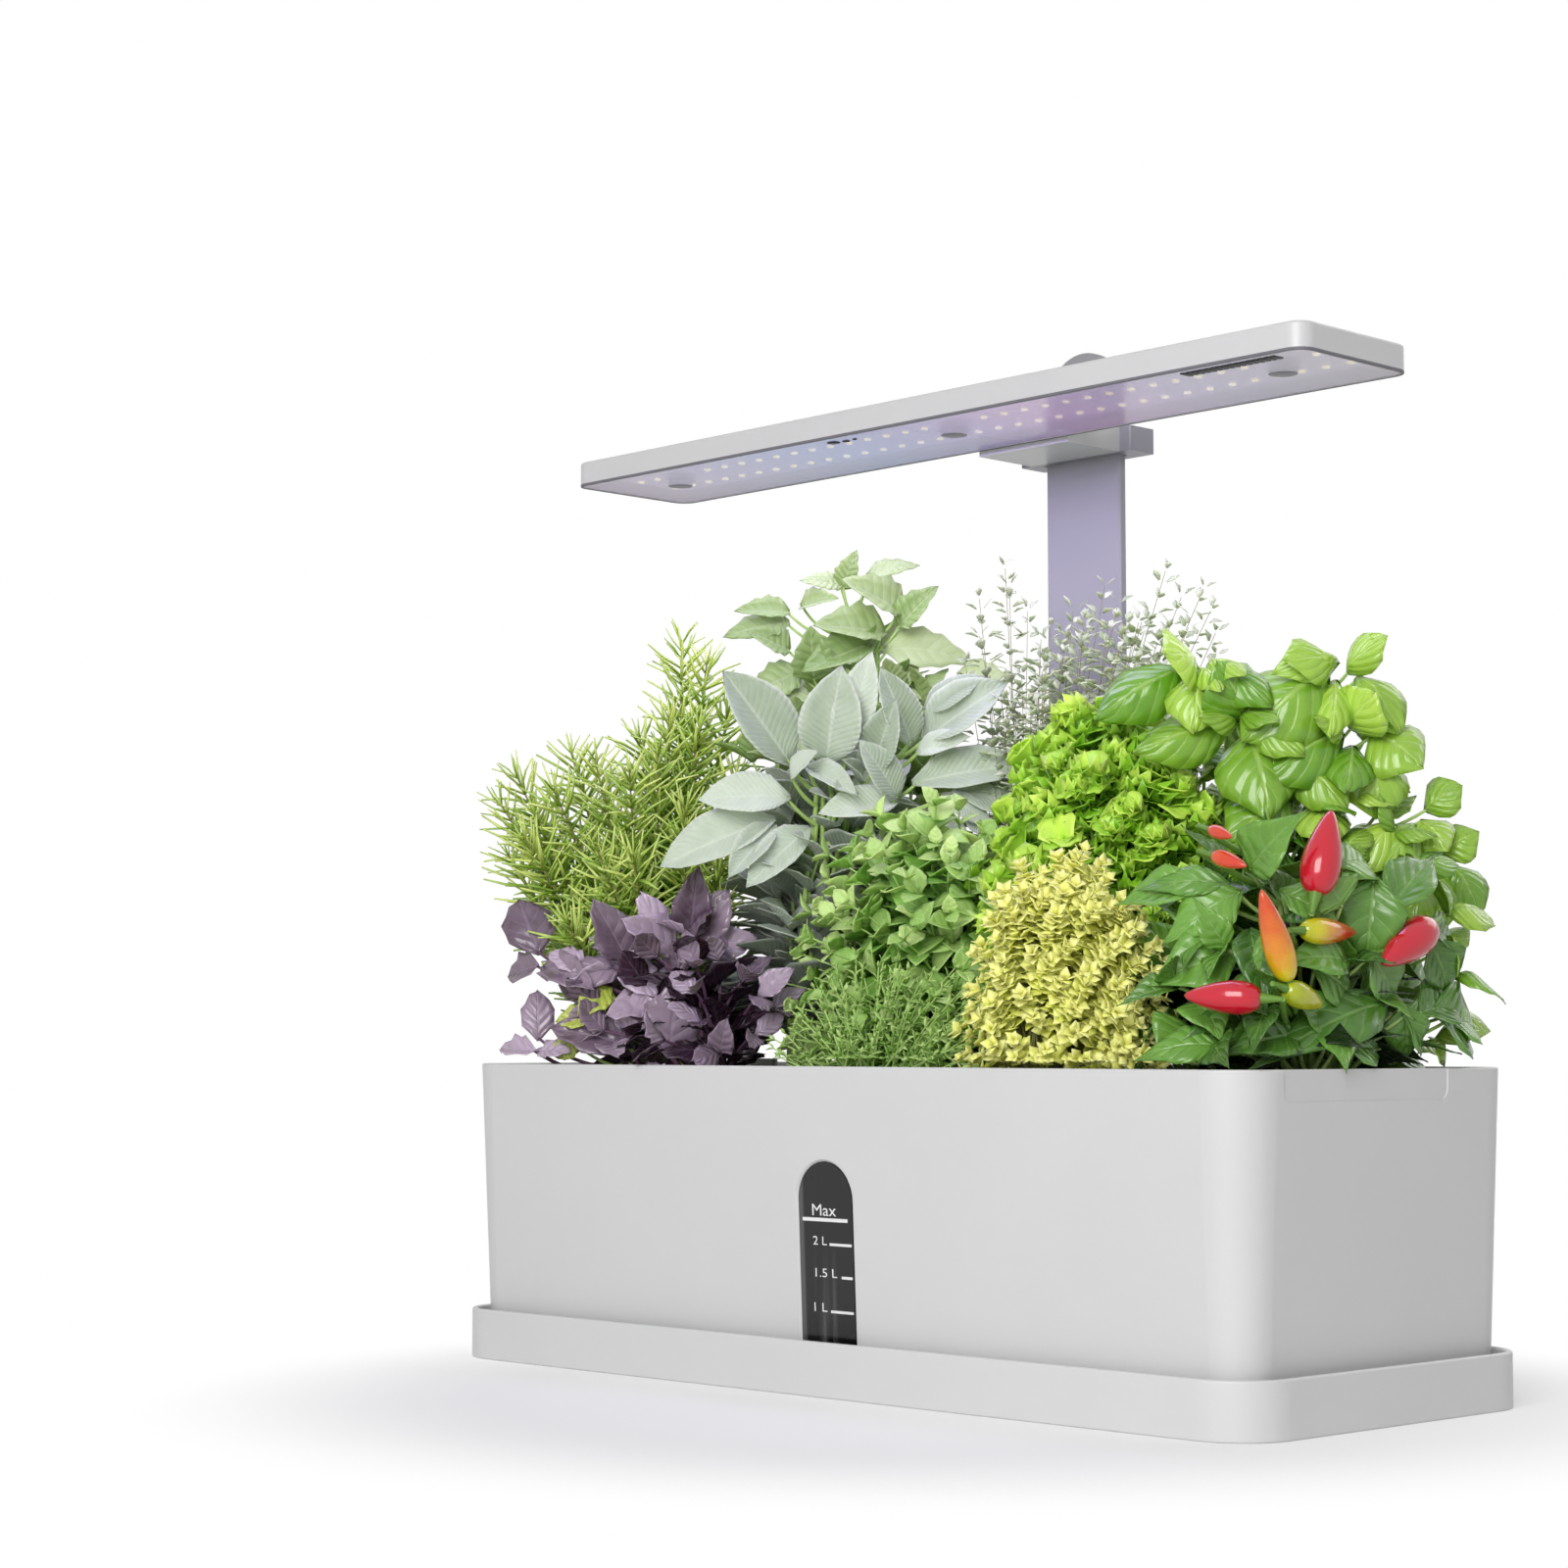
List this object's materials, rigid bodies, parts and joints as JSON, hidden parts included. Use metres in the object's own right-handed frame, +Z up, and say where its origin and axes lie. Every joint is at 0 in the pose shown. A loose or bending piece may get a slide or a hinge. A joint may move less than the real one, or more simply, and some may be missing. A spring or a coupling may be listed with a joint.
{
  "type": "countertop herb garden",
  "caption": "Countertop hydroponic herb garden: rectangular water tank in a drip tray, planted deck with lift-out pods, and a grow-light bar that slides on a rear post.",
  "frame": {"origin": "middle of the drip tray's underside, on the surface it stands on", "axes": "+Z up, +X along the tank's length, -Y towards the front with the water window"},
  "size_m": [0.38, 0.152, 0.376],
  "materials": {
    "tray_plastic": "satin grey",
    "tank_plastic": "satin grey",
    "deck_plastic": "satin grey",
    "lamp_plastic": "satin grey",
    "smoked_clear": "smoked clear",
    "clear_cover": "clear",
    "seal_rubber": "matte",
    "post_metal": "satin grey",
    "board_white": "white mask",
    "diode": "phosphor",
    "steel": "zinc plated",
    "dark_plastic": "matte",
    "pad_felt": "felt",
    "green_board": "solder mask",
    "basket_plastic": "matte black",
    "sponge": "open foam",
    "foliage": "leaf",
    "grey_foliage": "felted leaf",
    "purple_foliage": "leaf",
    "gold_foliage": "leaf"
  },
  "bodies": {
    "tray": {"drip_tray": "tray_plastic"},
    "tank": {"tank": "tank_plastic", "window_seal": "seal_rubber", "level_window": "smoked_clear", "post": "post_metal", "pump_body": "dark_plastic", "pump_cover": "dark_plastic", "pump_shaft": "steel", "intake_filter": "sponge", "suction_cups": "seal_rubber", "riser_tube": "dark_plastic"},
    "deck": {"planting_deck": "deck_plastic"},
    "cap": {"fill_cap": "deck_plastic"},
    "lamp": {"lamp_housing": "lamp_plastic", "led_board": "board_white", "led_chips": "diode", "light_cover": "clear_cover", "lamp_screws": "steel", "lamp_arm": "lamp_plastic", "arm_cover": "lamp_plastic", "power_inlet": "dark_plastic", "control_board": "green_board", "slide_collar": "dark_plastic", "slide_pads": "pad_felt"},
    "button": {"power_button": "dark_plastic"},
    "impeller": {"impeller": "dark_plastic"},
    "pod_rosemary": {"basket_rosemary": "basket_plastic", "plug_rosemary": "sponge", "plant_rosemary": "foliage"},
    "pod_sage": {"basket_sage": "basket_plastic", "plug_sage": "sponge", "plant_sage": "grey_foliage"},
    "pod_oregano": {"basket_oregano": "basket_plastic", "plug_oregano": "sponge", "plant_oregano": "foliage"},
    "pod_parsley": {"basket_parsley": "basket_plastic", "plug_parsley": "sponge", "plant_parsley": "foliage"},
    "pod_chili": {"basket_chili": "basket_plastic", "plug_chili": "sponge", "plant_chili": "foliage"},
    "pod_purple_basil": {"basket_purple_basil": "basket_plastic", "plug_purple_basil": "sponge", "plant_purple_basil": "purple_foliage"},
    "pod_thyme": {"basket_thyme": "basket_plastic", "plug_thyme": "sponge", "plant_thyme": "foliage"},
    "pod_golden_thyme": {"basket_golden_thyme": "basket_plastic", "plug_golden_thyme": "sponge", "plant_golden_thyme": "gold_foliage"},
    "pod_mint": {"basket_mint": "basket_plastic", "plug_mint": "sponge", "plant_mint": "foliage"},
    "pod_tall_thyme": {"basket_tall_thyme": "basket_plastic", "plug_tall_thyme": "sponge", "plant_tall_thyme": "foliage"},
    "pod_basil": {"basket_basil": "basket_plastic", "plug_basil": "sponge", "plant_basil": "foliage"}
  },
  "joints": [
    {"name": "tank_lift", "type": "slide", "parent": "tray", "child": "tank", "axis": [0, 0, 1], "range_m": [0, 0.03]},
    {"name": "deck_lift", "type": "slide", "parent": "tank", "child": "deck", "axis": [0, 0, 1], "range_m": [0, 0.018]},
    {"name": "cap_lift", "type": "slide", "parent": "deck", "child": "cap", "axis": [0, 0, 1], "range_m": [0, 0.04]},
    {"name": "lamp_slide", "type": "slide", "parent": "tank", "child": "lamp", "axis": [0, 0, 1], "range_m": [-0.025, 0.02]},
    {"name": "button_press", "type": "slide", "parent": "lamp", "child": "button", "axis": [0, 0, -1], "range_m": [0, 0.0008], "stiffness_N_per_m": 400},
    {"name": "impeller_spin", "type": "hinge", "parent": "tank", "child": "impeller", "pos_m": [0.117, 0.016, 0.0235], "axis": [0, 1, 0], "continuous": true},
    {"name": "lift_rosemary", "type": "slide", "parent": "deck", "child": "pod_rosemary", "axis": [0, 0, 1], "range_m": [0, 0.045]},
    {"name": "lift_sage", "type": "slide", "parent": "deck", "child": "pod_sage", "axis": [0, 0, 1], "range_m": [0, 0.055]},
    {"name": "lift_oregano", "type": "slide", "parent": "deck", "child": "pod_oregano", "axis": [0, 0, 1], "range_m": [0, 0.055]},
    {"name": "lift_parsley", "type": "slide", "parent": "deck", "child": "pod_parsley", "axis": [0, 0, 1], "range_m": [0, 0.055]},
    {"name": "lift_chili", "type": "slide", "parent": "deck", "child": "pod_chili", "axis": [0, 0, 1], "range_m": [0, 0.055]},
    {"name": "lift_purple_basil", "type": "slide", "parent": "deck", "child": "pod_purple_basil", "axis": [0, 0, 1], "range_m": [0, 0.055]},
    {"name": "lift_thyme", "type": "slide", "parent": "deck", "child": "pod_thyme", "axis": [0, 0, 1], "range_m": [0, 0.055]},
    {"name": "lift_golden_thyme", "type": "slide", "parent": "deck", "child": "pod_golden_thyme", "axis": [0, 0, 1], "range_m": [0, 0.055]},
    {"name": "lift_mint", "type": "slide", "parent": "deck", "child": "pod_mint", "axis": [0, 0, 1], "range_m": [0, 0.025]},
    {"name": "lift_tall_thyme", "type": "slide", "parent": "deck", "child": "pod_tall_thyme", "axis": [0, 0, 1], "range_m": [0, 0.03]},
    {"name": "lift_basil", "type": "slide", "parent": "deck", "child": "pod_basil", "axis": [0, 0, 1], "range_m": [0, 0.055]}
  ]
}
